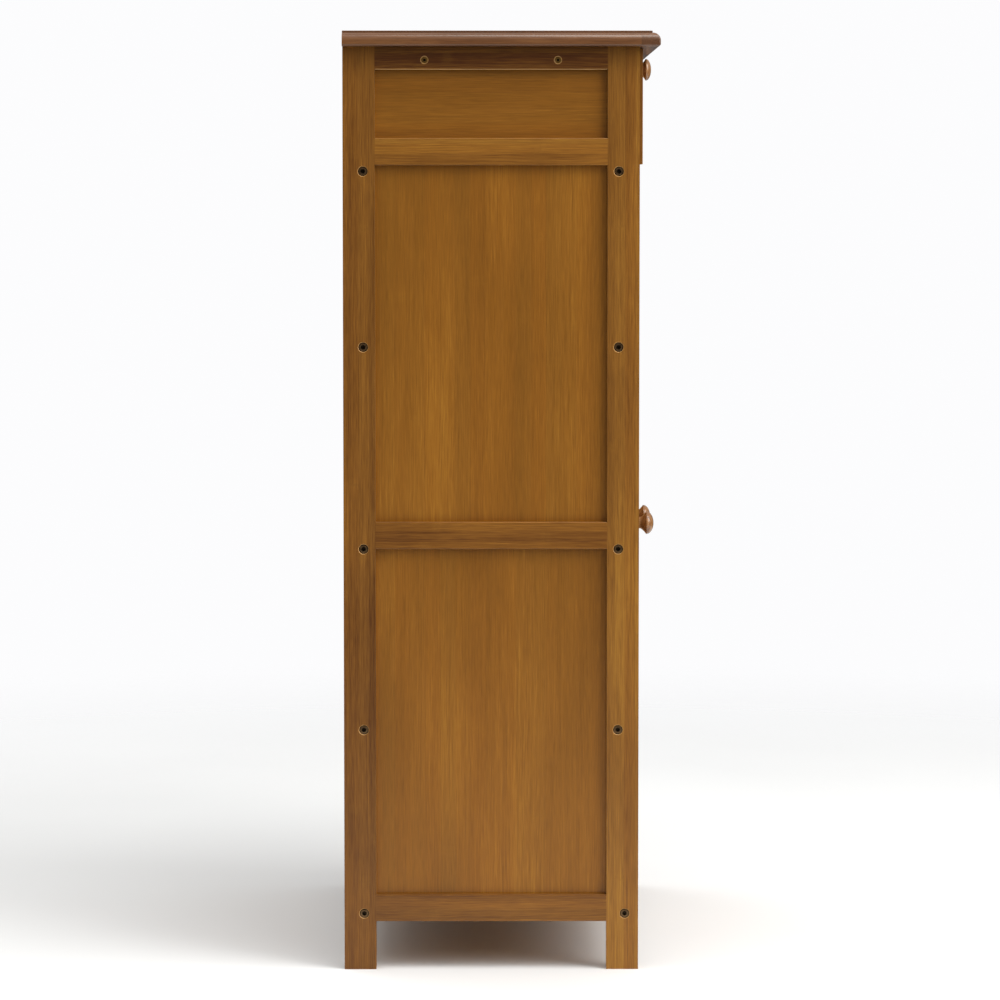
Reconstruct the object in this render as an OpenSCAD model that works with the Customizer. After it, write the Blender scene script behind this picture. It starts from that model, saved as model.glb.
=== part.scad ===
// Pantry cabinet: frame-and-panel carcass, one drawer over two inset doors on pivot pins.
// X is the width, the doors face -Y, Z is up. The origin is on the floor, under the middle
// of the whole cabinet, knobs included. All sizes are in millimetres.

/* [Cabinet] */
// Width over the two side frames
body_w = 600; // [480:1:760]
// Depth of the side frames
body_d = 370; // [300:1:460]
// Height from the floor to the top surface
total_h = 1178; // [1030:1:1450]
// Clear height under the bottom rails
leg_clear_h = 61; // [30:1:110]

/* [Top board] */
// Thickness of the top board
top_t = 19; // [17:0.5:30]
// Overhang of the top board past each side
top_side_overhang = 20; // [12:1:40]
// Overhang of the top board past the front
top_front_overhang = 25; // [12:1:28]
// Radius of the rounded nose along the front and the sides
nose_r = 8.5; // [4:0.5:10]
// Height of the small upright step above the nose
nose_step_h = 2.5; // [1:0.5:4]
// Radius of the round under the nose
nose_under_r = 2.5; // [1:0.5:3]

/* [Side frames] */
// Thickness of the side stiles and rails
side_t = 20; // [18:1:26]
// Width of the side stiles, which also are the legs
stile_w = 40; // [33:1:60]
// Height of the upper, middle and bottom side rails
side_rail_h = 34; // [28:1:50]
// Height of the side rail under the top board
top_rail_h = 29; // [24:1:45]
// Thickness of the side panels
side_panel_t = 6; // [4:0.5:8]
// Distance from the outer face of a side frame to its panels
side_panel_setback = 8; // [4:0.5:10]
// Depth of every panel groove, and length of every stub tenon
groove_d = 6; // [4:0.5:6]
// Room left behind a panel's edge in its groove
panel_play = 1; // [0.5:0.5:2]

/* [Shelves] */
// Thickness of the shelves, the drawer divider and the bottom board
shelf_t = 15; // [14:1:20]
// Height of the middle of the lower shelf above the floor
lower_shelf_z = 304; // [200:1:400]
// Height of the middle of the middle shelf above the floor
middle_shelf_z = 532; // [450:1:620]
// Height of the middle of the upper shelf above the floor
upper_shelf_z = 785; // [680:1:800]
// Gap between a closed door or drawer front and what lies straight behind it
front_gap = 2.5; // [1:0.5:4]
// Height of the drawer bay, from the divider to the top board
drawer_bay_h = 147.5; // [120:0.5:175]
// Height of the rail under the doors
front_rail_h = 20; // [20:1:30]
// Distance by which the front stiles reach further back than the rail under the doors
front_rail_step = 5; // [0:1:12]
// Width of the post between the doors
post_w = 50; // [30:1:60]
// Height of the cleats under the top board
cleat_h = 28; // [26:1:32]
// Width of the cleats under the top board
cleat_w = 20; // [18:1:26]

/* [Back] */
// Height of the back rails
back_rail_h = 40; // [30:1:60]
// Thickness of the back rails
back_rail_t = 12; // [11:1:14]
// Thickness of the back panels
back_panel_t = 4; // [3:0.5:5]
// Distance from the back of the cabinet to its panels
back_panel_setback = 5; // [3:0.5:6]

/* [Doors] */
// Thickness of the doors
door_t = 15; // [14:1:18]
// Width of the door stiles
door_stile_w = 50; // [36:1:70]
// Height of the door rails
door_rail_h = 50; // [36:1:80]
// Thickness of the door panels
door_panel_t = 6; // [4:0.5:7]
// Distance from the face of a door to its panels
door_panel_setback = 5; // [3:0.5:6]
// Gap around each door
door_gap = 2; // [1.8:0.1:3]
// Distance that a closed door's face lies behind the stiles' faces
door_inset = 0.5; // [0:0.5:1]
// Radius of the pivot pins
pin_r = 3; // [2.5:0.25:3.5]
// Length of a pivot pin inside its door stile
pin_grip = 22; // [15:1:35]
// Length of a pivot pin inside its bush
pin_reach = 7; // [5:0.5:7]
// Radial clearance of a pivot pin in its bush
pin_clearance = 0.05; // [0.02:0.01:0.1]
// Wall thickness of a pivot bush
bush_wall = 1.8; // [1.5:0.1:2]
// Thickness of the bush flange that carries the door
bush_flange_t = 1.5; // [1:0.1:1.5]
// Height of the door knobs above the floor
door_knob_z = 544; // [500:1:700]

/* [Drawer] */
// Distance that the closed drawer's face stands in front of the stiles
drawer_proud = 4.5; // [0:0.5:6]
// Thickness of the drawer front
drawer_front_t = 18; // [15:1:22]
// Gap between the drawer front and the stiles
drawer_gap_x = 2; // [1:0.5:3]
// Gap above and below the drawer front
drawer_gap_z = 1.5; // [1:0.5:3]
// Height of the rails of the drawer front
drawer_rail_h = 36; // [30:1:45]
// Distance from the drawer's face to its front panel
drawer_panel_setback = 6; // [3:0.5:8]
// Thickness of the drawer's sides and back
drawer_side_t = 12; // [11:1:15]
// Gap between the drawer's sides and the side frames
drawer_side_gap = 4; // [3:0.5:6]
// Thickness of the drawer's bottom
drawer_bottom_t = 4; // [3:0.5:6]
// Space left behind the closed drawer
drawer_back_space = 18; // [5:1:60]
// Height of the runners in the drawer's side grooves
runner_h = 16; // [12:1:18]
// Clearance all round a runner in its groove
runner_clearance = 0.5; // [0.3:0.1:1]

/* [Knobs] */
// Largest radius of the door knobs
door_knob_r = 15; // [11:0.5:17]
// Distance that the door knobs stand out from the doors
door_knob_reach = 29.5; // [24:0.5:36]
// Largest radius of the drawer knob
drawer_knob_r = 14.25; // [11:0.25:16]
// Distance that the drawer knob stands out from the drawer
drawer_knob_reach = 22; // [20:0.5:28]
// Radius of the knobs' necks
knob_neck_r = 7.5; // [5:0.5:9]

/* [Fasteners] */
// Radius of the shelf bolts
bolt_r = 3; // [2.5:0.5:3.5]
// Radius of the bolt heads
bolt_head_r = 5; // [4:0.5:5.5]
// Height of the bolt heads
bolt_head_h = 4.2; // [3.5:0.1:5]
// Depth of the bolt heads' outer faces below the side frame's face
bolt_sink = 1.2; // [0.5:0.1:3]
// Gap around a bolt head in its counterbore
bolt_head_gap = 1; // [0.5:0.1:1]
// Length of a bolt inside a shelf
bolt_grip = 30; // [20:1:50]
// Distance of the back bolts in front of the middle between the shelves' back edge and the panel groove
back_bolt_offset = 2; // [-1:0.5:2]
// Distance of the front bolts behind the middle between the shelves' front edge and the panel groove
front_bolt_offset = 0; // [-1:0.5:2]
// Gap between a lower pivot bush and the bolt behind it in the rail under the doors
rail_bolt_gap = 1.15; // [0.5:0.05:4]
// Radius of the cleat screws
screw_r = 2; // [1.5:0.25:2.5]
// Radius of the cleat screws' heads
screw_head_r = 4; // [3.5:0.25:4.5]
// Height of the cleat screws' heads
screw_head_h = 2.6; // [2:0.1:3]
// Length of the side frames' cleat screws inside the cleat
side_screw_grip = 16; // [10:1:17]
// Length of the top board's cleat screws inside the board
top_screw_grip = 8; // [5:1:12]
// Distance from the front and the back to the cleat screws in the side frames
side_screw_inset = 102; // [80:1:130]
// Distance from the front and the back to the cleat screws in the top board
top_screw_inset = 60; // [45:1:70]

/* [Hidden] */
$fn = 64;
// Overlap that keeps a cut from ending on the face it cuts
e = 0.1;
// Play of moving faces that pass or meet each other
slack = 0.3;
// Clearance around bolts and screws in their holes
hole_clearance = 0.1;
left = -1;
right = 1;

wood = "#8f6332";
panel_wood = "#96692f";
shelf_wood = "#a27a45";
bronze = "#4a3a2c";
steel = "#b9b9b4";
white_plastic = "#e6e2d8";

// The knobs or the top board, whichever stands out furthest, set the front of the whole cabinet.
front_reach = max(door_knob_reach - door_inset, drawer_proud + drawer_knob_reach, top_front_overhang);
front_y = -(body_d - front_reach) / 2;
back_y = front_y + body_d;
inner_w = body_w - 2 * side_t;
carcass_h = total_h - top_t;

front_rail_top = leg_clear_h + front_rail_h;
bottom_bolt_z = leg_clear_h + front_rail_h / 2;
divider_top = carcass_h - drawer_bay_h;
divider_z = divider_top - shelf_t / 2;
divider_under = divider_top - shelf_t;
shelf_back_y = back_y - back_rail_t;
shelf_setback = door_inset + door_t + front_gap;
cleat_setback = drawer_front_t - drawer_proud + front_gap;
front_rail_w = stile_w - front_rail_step;
front_bolt_setback = (shelf_setback + stile_w - groove_d) / 2 + front_bolt_offset;
back_bolt_setback = (back_rail_t + stile_w - groove_d) / 2 + back_bolt_offset;
side_screw_l = side_t + side_screw_grip;
top_screw_l = cleat_h + top_screw_grip;
bolt_heights = [bottom_bolt_z, lower_shelf_z, middle_shelf_z, upper_shelf_z, divider_z];

side_groove = [side_panel_t, side_panel_setback];
door_groove = [door_panel_t, door_panel_setback];
drawer_groove = [door_panel_t, drawer_panel_setback];
back_groove = [back_panel_t, back_panel_setback];
back_middle_z = middle_shelf_z + side_rail_h / 2 - back_rail_h / 2;

side_opening_w = body_d - 2 * stile_w;
bottom_rail_top = leg_clear_h + side_rail_h;
middle_rail_top = middle_shelf_z + side_rail_h;
upper_rail_top = divider_top + side_rail_h;
top_rail_z = carcass_h - top_rail_h;

// A pin turns at the middle of a door's thickness, in the middle of its round hinge edge.
door_edge_r = door_t / 2;
door_w = (inner_w - post_w) / 2 - 2 * door_gap;
door_z = front_rail_top + door_gap;
door_h = divider_under - door_gap - door_z;
door_face_y = front_y + door_inset;
pin_x = inner_w / 2 - door_gap - door_edge_r;
pin_y = door_face_y + door_edge_r;
door_rail_w = door_w - 2 * door_stile_w;
door_middle_z = middle_shelf_z + side_rail_h / 2 - door_rail_h / 2 - door_z;
bush_r = pin_r + pin_clearance + bush_wall;
bush_l = pin_reach + 1;
bush_flange_r = bush_r + 2;
rail_bolt_setback = pin_y - front_y + bush_r + rail_bolt_gap + bolt_r;

catch_size = [30, 14, 12];
catch_from_post = 6;
strike_size = [26, 1, 14];
strike_from_top = 4;

drawer_face_y = front_y - drawer_proud;
drawer_front_z = divider_top + drawer_gap_z;
drawer_front_h = drawer_bay_h - 2 * drawer_gap_z;
drawer_front_w = inner_w - 2 * drawer_gap_x;
drawer_box_y = drawer_face_y + drawer_front_t;
drawer_box_l = shelf_back_y - drawer_back_space - drawer_box_y;
drawer_side_x = inner_w / 2 - drawer_side_gap - drawer_side_t;
drawer_side_z = divider_top + 3;
drawer_side_top = carcass_h - cleat_h - 5;
drawer_bottom_z = drawer_side_z + 4;
drawer_bottom_groove = 4;
drawer_back_drop = 6;
runner_groove = 6;
runner_z = drawer_bottom_z + drawer_bottom_t + 4 + runner_clearance;
runner_x = drawer_side_x + drawer_side_t - runner_groove + runner_clearance;

// ---- Places ----

// Draws a piece of the left half on the side that is asked for.
module on_side(side) mirror([side == right ? 1 : 0, 0, 0]) children();

// Draws a piece of the left half on both sides.
module on_both_sides() {
    on_side(left) children();
    on_side(right) children();
}

// A side frame lies flat here: x runs from back to front, y from its outer face inwards.
module on_side_frame(side) on_side(side) translate([-body_w / 2, back_y, 0]) rotate(-90) children();

// The back frame lies flat here: x runs from left to right seen from behind, y forwards.
module on_back_frame() translate([inner_w / 2, back_y, 0]) rotate(180) children();

// The left door: x runs from its inner stile to its hinge edge, y inwards, z up from its foot.
module on_door(side) {
    on_side(side) translate([-post_w / 2 - door_gap, door_face_y, door_z])
        mirror([1, 0, 0]) children();
}

// The drawer front: x from its left edge, y inwards, z up from its lower edge.
module on_drawer_front() {
    translate([-drawer_front_w / 2, drawer_face_y, drawer_front_z]) children();
}

// ---- Frame members; groove is [thickness of the panel, its distance from the show face] ----

// Upright with a panel groove along its near (x = 0) or far edge, from height from_z to its top.
module grooved_stile(size, groove, on_far_edge = false, from_z = 0) {
    difference() {
        cube(size);
        translate([on_far_edge ? size.x - groove_d : -e, groove[1], from_z - (from_z == 0 ? e : 0)])
            cube([groove_d + e, groove[0], size.z - from_z + 2 * e]);
    }
}

// Cross piece with a stub tenon at each end, grooved along its upper or lower edge, or both.
module tenoned_rail(size, groove, above = true, below = true) {
    difference() {
        union() {
            cube(size);
            translate([-groove_d, groove[1], 0]) cube([size.x + 2 * groove_d, groove[0], size.z]);
        }
        if (above) rail_groove(size, groove, size.z - groove_d);
        if (below) rail_groove(size, groove, -e);
    }
}

module rail_groove(size, groove, z) {
    translate([-groove_d - e, groove[1], z])
        cube([size.x + 2 * groove_d + 2 * e, groove[0], groove_d + e]);
}

// Panel that fills an opening of the given width and height and reaches into the grooves.
module framed_panel(w, h, groove) {
    lip = groove_d - panel_play;
    translate([-lip, groove[1], -lip]) cube([w + 2 * lip, groove[0], h + 2 * lip]);
}

// ---- Fasteners, pointing along +y from a face at y = 0 ----

module rod(r, from_y, to_y) translate([0, from_y, 0]) rotate([-90, 0, 0]) cylinder(r = r, h = to_y - from_y);

module bolt_hole() {
    rod(bolt_head_r + bolt_head_gap, -e, bolt_sink + bolt_head_h);
    rod(bolt_r + hole_clearance, 0, side_t + e);
}

module bolt_grip_hole() rod(bolt_r + hole_clearance, side_t - e, side_t + bolt_grip + 1);

module shelf_bolt() {
    socket_r = 2.9;
    socket_depth = 2.6;
    difference() {
        union() {
            rod(bolt_head_r, bolt_sink, bolt_sink + bolt_head_h);
            rod(bolt_r, bolt_sink + bolt_head_h - e, side_t + bolt_grip);
        }
        translate([0, bolt_sink - e, 0]) rotate([-90, 0, 0])
            cylinder(r = socket_r, h = socket_depth + e, $fn = 6);
    }
}

// Countersunk head with a straight shank
module cleat_screw(length) {
    socket_r = 1.7;
    socket_depth = 1.6;
    difference() {
        union() {
            rotate([-90, 0, 0]) cylinder(r1 = screw_head_r, r2 = screw_r, h = screw_head_h);
            rod(screw_r, screw_head_h - e, length);
        }
        translate([0, -e, 0]) rotate([-90, 0, 0])
            cylinder(r = socket_r, h = socket_depth + e, $fn = 6);
    }
}

module cleat_screw_hole(length) {
    wide = hole_clearance + 0.6;
    rotate([-90, 0, 0]) cylinder(r1 = screw_head_r + wide, r2 = screw_r + wide, h = screw_head_h);
    rod(screw_head_r + wide, -e, 0);
    rod(screw_r + hole_clearance, 0, length + 1);
}

// Repeats a fastener at every shelf bolt of one side frame.
module at_back_bolts() {
    for (z = bolt_heights) translate([back_bolt_setback, 0, z]) children();
}

module at_front_bolts() {
    for (z = bolt_heights) {
        setback = z == bottom_bolt_z ? rail_bolt_setback : front_bolt_setback;
        translate([body_d - setback, 0, z]) children();
    }
}

// Repeats a fastener at the screws that go sideways into one cleat.
module at_side_screws() {
    for (x = [side_screw_inset, body_d - side_screw_inset])
        translate([x, 0, carcass_h - cleat_h / 2 - 3]) children();
}

// Repeats a fastener at the screws that go up through one cleat into the top board.
module at_top_screws() {
    for (x = [top_screw_inset, body_d - top_screw_inset])
        translate([x, side_t + cleat_w / 2, carcass_h - cleat_h]) rotate([90, 0, 0]) children();
}

// ---- Side frames ----

module back_stile(side) {
    color(wood) on_side_frame(side) difference() {
        grooved_stile([stile_w, side_t, carcass_h], side_groove, true, leg_clear_h);
        at_back_bolts() bolt_hole();
        translate([back_panel_setback, side_t - groove_d, leg_clear_h])
            cube([back_panel_t, groove_d + e, carcass_h - leg_clear_h + e]);
    }
}

module front_stile(side) {
    color(wood) on_side_frame(side) difference() {
        translate([body_d - stile_w, 0, 0])
            grooved_stile([stile_w, side_t, carcass_h], side_groove, false, leg_clear_h);
        at_front_bolts() bolt_hole();
    }
}

module side_rail(side, z, h, above = true, below = true) {
    color(wood) on_side_frame(side) difference() {
        translate([stile_w, 0, z])
            tenoned_rail([side_opening_w, side_t, h], side_groove, above, below);
        at_side_screws() cleat_screw_hole(side_screw_l);
    }
}

module side_panel(side, from_z, to_z) {
    color(panel_wood) on_side_frame(side) translate([stile_w, 0, from_z])
        framed_panel(side_opening_w, to_z - from_z, side_groove);
}

// ---- Top ----

// Section of the top board's moulded edge; the board's body lies on the -x side of edge_x.
module nose_section(from_x, edge_x) {
    nose_z = top_t - nose_step_h - nose_r;
    translate([from_x, 0]) square([edge_x - nose_r - from_x, top_t]);
    translate([from_x, nose_under_r]) square([edge_x - from_x, nose_z - nose_under_r]);
    translate([from_x, 0]) square([edge_x - nose_under_r - from_x, nose_under_r]);
    translate([edge_x - nose_r, nose_z]) circle(nose_r);
    translate([edge_x - nose_under_r, nose_under_r]) circle(nose_under_r);
}

module top_board() {
    half_w = body_w / 2 + top_side_overhang;
    depth = body_d + top_front_overhang;
    color(wood) difference() {
        translate([0, 0, carcass_h]) intersection() {
            // moulded along the front
            translate([-half_w, back_y, 0]) rotate([90, 0, 90]) mirror([1, 0])
                linear_extrude(2 * half_w) nose_section(0, depth);
            // moulded along both sides
            translate([0, back_y, 0]) rotate([90, 0, 0]) linear_extrude(depth) {
                nose_section(0, half_w);
                mirror([1, 0]) nose_section(0, half_w);
            }
        }
        on_side_frame(left) at_top_screws() cleat_screw_hole(top_screw_l);
        on_side_frame(right) at_top_screws() cleat_screw_hole(top_screw_l);
    }
}

module top_cleats() {
    color(shelf_wood) for (side = [left, right]) on_side_frame(side) difference() {
        translate([back_rail_t, side_t, carcass_h - cleat_h])
            cube([body_d - back_rail_t - cleat_setback, cleat_w, cleat_h]);
        at_side_screws() cleat_screw_hole(side_screw_l);
        at_top_screws() cleat_screw_hole(top_screw_l);
    }
}

// ---- Back ----

module back_rails() {
    size = [inner_w, back_rail_t, back_rail_h];
    color(wood) on_back_frame() {
        translate([0, 0, leg_clear_h]) tenoned_rail(size, back_groove, below = false);
        translate([0, 0, back_middle_z]) tenoned_rail(size, back_groove);
        translate([0, 0, carcass_h - back_rail_h]) tenoned_rail(size, back_groove, above = false);
    }
}

module back_panels() {
    color(panel_wood) on_back_frame() {
        translate([0, 0, leg_clear_h + back_rail_h])
            framed_panel(inner_w, back_middle_z - leg_clear_h - back_rail_h, back_groove);
        translate([0, 0, back_middle_z + back_rail_h])
            framed_panel(inner_w, carcass_h - 2 * back_rail_h - back_middle_z, back_groove);
    }
}

// ---- Shelves and front members ----

// Board across the inside of the cabinet, with its bolt holes in both ends
module shelf(z, from_y) {
    color(shelf_wood) difference() {
        translate([-inner_w / 2, from_y, z - shelf_t / 2])
            cube([inner_w, shelf_back_y - from_y, shelf_t]);
        on_side_frame(left) shelf_grip_holes();
        on_side_frame(right) shelf_grip_holes();
    }
}

module shelf_grip_holes() {
    at_back_bolts() bolt_grip_hole();
    at_front_bolts() bolt_grip_hole();
}

module drawer_divider() {
    color(shelf_wood) difference() {
        shelf(divider_z, front_y);
        on_both_sides() translate([-pin_x, pin_y, divider_under - e])
            cylinder(r = bush_r, h = bush_l + e);
    }
}

module front_bottom_rail() {
    color(wood) difference() {
        translate([-inner_w / 2, front_y, leg_clear_h]) cube([inner_w, front_rail_w, front_rail_h]);
        on_both_sides() translate([-pin_x, pin_y, front_rail_top - bush_l])
            cylinder(r = bush_r, h = bush_l + e);
        on_side_frame(left) shelf_grip_holes();
        on_side_frame(right) shelf_grip_holes();
    }
}

module centre_post() {
    color(wood) translate([-post_w / 2, front_y, front_rail_top])
        cube([post_w, shelf_setback, divider_under - front_rail_top]);
}

module drawer_runners() {
    color(shelf_wood) for (side = [left, right]) on_side(side)
        translate([-inner_w / 2, drawer_box_y + slack, runner_z])
            cube([inner_w / 2 - runner_x, shelf_back_y - drawer_box_y - slack, runner_h]);
}

module shelf_bolts() {
    color(bronze) for (side = [left, right]) on_side_frame(side) {
        at_back_bolts() shelf_bolt();
        at_front_bolts() shelf_bolt();
    }
}

module cleat_screws() {
    color(bronze) for (side = [left, right]) on_side_frame(side) {
        at_side_screws() cleat_screw(side_screw_l);
        at_top_screws() cleat_screw(top_screw_l);
    }
}

// Flanged bush with its mouth at z = 0, pointing up into the wood
module pivot_bush() {
    difference() {
        union() {
            cylinder(r = bush_r, h = bush_l);
            translate([0, 0, -bush_flange_t]) cylinder(r = bush_flange_r, h = bush_flange_t);
        }
        translate([0, 0, -bush_flange_t - e])
            cylinder(r = pin_r + pin_clearance, h = bush_l + bush_flange_t - 0.6 + e);
    }
}

module pivot_bushes() {
    color(white_plastic) on_both_sides() translate([-pin_x, pin_y, 0]) {
        translate([0, 0, divider_under]) pivot_bush();
        translate([0, 0, front_rail_top]) mirror([0, 0, 1]) pivot_bush();
    }
}

module magnetic_catches() {
    color(white_plastic) on_both_sides()
        translate([
            -post_w / 2 - catch_from_post - catch_size.x, door_face_y + door_t + slack,
            divider_under - catch_size.z
        ]) cube(catch_size);
}

// ---- Doors ----

module door_hinge_stile(side) {
    color(wood) on_door(side) difference() {
        union() {
            translate([door_w - door_stile_w, 0, 0])
                grooved_stile([door_stile_w - door_edge_r, door_t, door_h], door_groove);
            translate([door_w - door_edge_r, door_edge_r, 0]) cylinder(r = door_edge_r, h = door_h);
        }
        for (z = [-e, door_h - pin_grip]) translate([door_w - door_edge_r, door_edge_r, z])
            cylinder(r = pin_r, h = pin_grip + e);
    }
}

module door_inner_stile(side) {
    color(wood) on_door(side) difference() {
        grooved_stile([door_stile_w, door_t, door_h], door_groove, true);
        translate(strike_place()) cube(strike_size + [0, e, 0]);
    }
}

module door_rail(side, z, above = true, below = true) {
    color(wood) on_door(side) translate([door_stile_w, 0, z])
        tenoned_rail([door_rail_w, door_t, door_rail_h], door_groove, above, below);
}

module door_panels(side) {
    color(panel_wood) on_door(side) translate([door_stile_w, 0, 0]) {
        translate([0, 0, door_rail_h])
            framed_panel(door_rail_w, door_middle_z - door_rail_h, door_groove);
        translate([0, 0, door_middle_z + door_rail_h])
            framed_panel(door_rail_w, door_h - door_middle_z - 2 * door_rail_h, door_groove);
    }
}

module door_pins(side) {
    color(steel) on_door(side) translate([door_w - door_edge_r, door_edge_r, 0])
        for (z = [-door_gap - pin_reach, door_h - pin_grip])
            translate([0, 0, z]) cylinder(r = pin_r, h = pin_grip + door_gap + pin_reach);
}

function strike_place() = [
    catch_from_post - door_gap + (catch_size.x - strike_size.x) / 2,
    door_t - strike_size.y,
    door_h - strike_from_top - strike_size.z
];

module door_strike(side) {
    color(steel) on_door(side) translate(strike_place()) cube(strike_size);
}

module door_knob(side) {
    color(wood) on_door(side) translate([door_stile_w / 2, 0, door_knob_z - door_z])
        knob(door_knob_r, door_knob_reach);
}

// ---- Knobs ----

// Half outline of a turned knob: a foot, a hollow neck, a flaring back and a domed face
function knob_outline(r, reach) =
    let (
        foot_r = knob_neck_r + 1.5,
        foot_h = 1.5,
        dome_h = r * 0.5,
        rim_z = reach - dome_h,
        neck_z = rim_z * 0.5,
        steps = 10,
        turn = 90 / steps
    ) concat(
        [[0, 0], [foot_r, 0], [foot_r, foot_h], [knob_neck_r, foot_h * 2.5], [knob_neck_r, neck_z]],
        [for (i = [1:steps]) [
            knob_neck_r + (r - knob_neck_r) * sin(turn * i),
            neck_z + (rim_z - neck_z) * (1 - cos(turn * i))
        ]],
        [for (i = [1:steps]) [r * cos(turn * i), rim_z + dome_h * sin(turn * i)]]
    );

module knob(r, reach) rotate([90, 0, 0]) rotate_extrude() polygon(knob_outline(r, reach));

// ---- Drawer ----

module drawer_front_stiles() {
    size = [stile_w, drawer_front_t, drawer_front_h];
    color(wood) on_drawer_front() {
        grooved_stile(size, drawer_groove, true);
        translate([drawer_front_w - stile_w, 0, 0]) grooved_stile(size, drawer_groove);
    }
}

module drawer_front_rails() {
    size = [drawer_front_w - 2 * stile_w, drawer_front_t, drawer_rail_h];
    color(wood) on_drawer_front() translate([stile_w, 0, 0]) {
        tenoned_rail(size, drawer_groove, below = false);
        translate([0, 0, drawer_front_h - drawer_rail_h])
            tenoned_rail(size, drawer_groove, above = false);
    }
}

module drawer_front_panel() {
    color(panel_wood) on_drawer_front() translate([stile_w, 0, drawer_rail_h])
        framed_panel(drawer_front_w - 2 * stile_w, drawer_front_h - 2 * drawer_rail_h, drawer_groove);
}

module drawer_side(side) {
    h = drawer_side_top - drawer_side_z;
    place = [-drawer_side_x - drawer_side_t, drawer_box_y, drawer_side_z];
    color(shelf_wood) on_side(side) translate(place) difference() {
        cube([drawer_side_t, drawer_box_l, h]);
        // for the runner
        translate([-e, -e, runner_z - runner_clearance - drawer_side_z])
            cube([runner_groove + e, drawer_box_l + 2 * e, runner_h + 2 * runner_clearance]);
        // for the bottom
        translate([drawer_side_t - drawer_bottom_groove, -e, drawer_bottom_z - drawer_side_z])
            cube([drawer_bottom_groove + e, drawer_box_l + 2 * e, drawer_bottom_t]);
    }
}

module drawer_back() {
    z = drawer_bottom_z + drawer_bottom_t;
    color(shelf_wood) translate([-drawer_side_x, drawer_box_y + drawer_box_l - drawer_side_t, z])
        cube([2 * drawer_side_x, drawer_side_t, drawer_side_top - drawer_back_drop - z]);
}

module drawer_bottom() {
    half_w = drawer_side_x + drawer_bottom_groove - panel_play / 2;
    color(panel_wood) translate([-half_w, drawer_box_y, drawer_bottom_z])
        cube([2 * half_w, drawer_box_l, drawer_bottom_t]);
}

module drawer_knob() {
    color(wood) on_drawer_front()
        translate([drawer_front_w / 2, 0, drawer_front_h - drawer_rail_h / 2])
            knob(drawer_knob_r, drawer_knob_reach);
}

// ---- The cabinet ----

front_stile(left);  // left_front_stile
back_stile(left);  // left_back_stile
side_rail(left, top_rail_z, top_rail_h, above = false);  // left_top_rail
side_rail(left, divider_top, side_rail_h);  // left_upper_rail
side_rail(left, middle_shelf_z, side_rail_h);  // left_middle_rail
side_rail(left, leg_clear_h, side_rail_h, below = false);  // left_bottom_rail
side_panel(left, upper_rail_top, top_rail_z);  // left_top_panel
side_panel(left, middle_rail_top, divider_top);  // left_middle_panel
side_panel(left, bottom_rail_top, middle_shelf_z);  // left_lower_panel

front_stile(right);  // right_front_stile
back_stile(right);  // right_back_stile
side_rail(right, top_rail_z, top_rail_h, above = false);  // right_top_rail
side_rail(right, divider_top, side_rail_h);  // right_upper_rail
side_rail(right, middle_shelf_z, side_rail_h);  // right_middle_rail
side_rail(right, leg_clear_h, side_rail_h, below = false);  // right_bottom_rail
side_panel(right, upper_rail_top, top_rail_z);  // right_top_panel
side_panel(right, middle_rail_top, divider_top);  // right_middle_panel
side_panel(right, bottom_rail_top, middle_shelf_z);  // right_lower_panel

top_board();
top_cleats();
back_rails();
back_panels();
drawer_divider();
shelf(upper_shelf_z, front_y + shelf_setback);  // upper_shelf
shelf(middle_shelf_z, front_y + shelf_setback);  // middle_shelf
shelf(lower_shelf_z, front_y + shelf_setback);  // lower_shelf
shelf(bottom_bolt_z, front_y + front_rail_w);  // bottom_board
front_bottom_rail();
centre_post();
drawer_runners();
shelf_bolts();
cleat_screws();
pivot_bushes();
magnetic_catches();

door_hinge_stile(left);  // left_door_hinge_stile
door_inner_stile(left);  // left_door_inner_stile
door_rail(left, door_h - door_rail_h, above = false);  // left_door_top_rail
door_rail(left, door_middle_z);  // left_door_middle_rail
door_rail(left, 0, below = false);  // left_door_bottom_rail
door_panels(left);  // left_door_panels
door_knob(left);  // left_door_knob
door_pins(left);  // left_door_pins
door_strike(left);  // left_door_strike

door_hinge_stile(right);  // right_door_hinge_stile
door_inner_stile(right);  // right_door_inner_stile
door_rail(right, door_h - door_rail_h, above = false);  // right_door_top_rail
door_rail(right, door_middle_z);  // right_door_middle_rail
door_rail(right, 0, below = false);  // right_door_bottom_rail
door_panels(right);  // right_door_panels
door_knob(right);  // right_door_knob
door_pins(right);  // right_door_pins
door_strike(right);  // right_door_strike

drawer_front_stiles();
drawer_front_rails();
drawer_front_panel();
drawer_side(left);  // left_drawer_side
drawer_side(right);  // right_drawer_side
drawer_back();
drawer_bottom();
drawer_knob();
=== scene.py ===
"""Looks of the pantry cabinet, in metres and in the row frame: X is the width, the doors face -Y, Z is up.

Every board, knob, pin and screw stands for its CAD node and takes its place and size from that node's box.
"""

import math
import random

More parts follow.
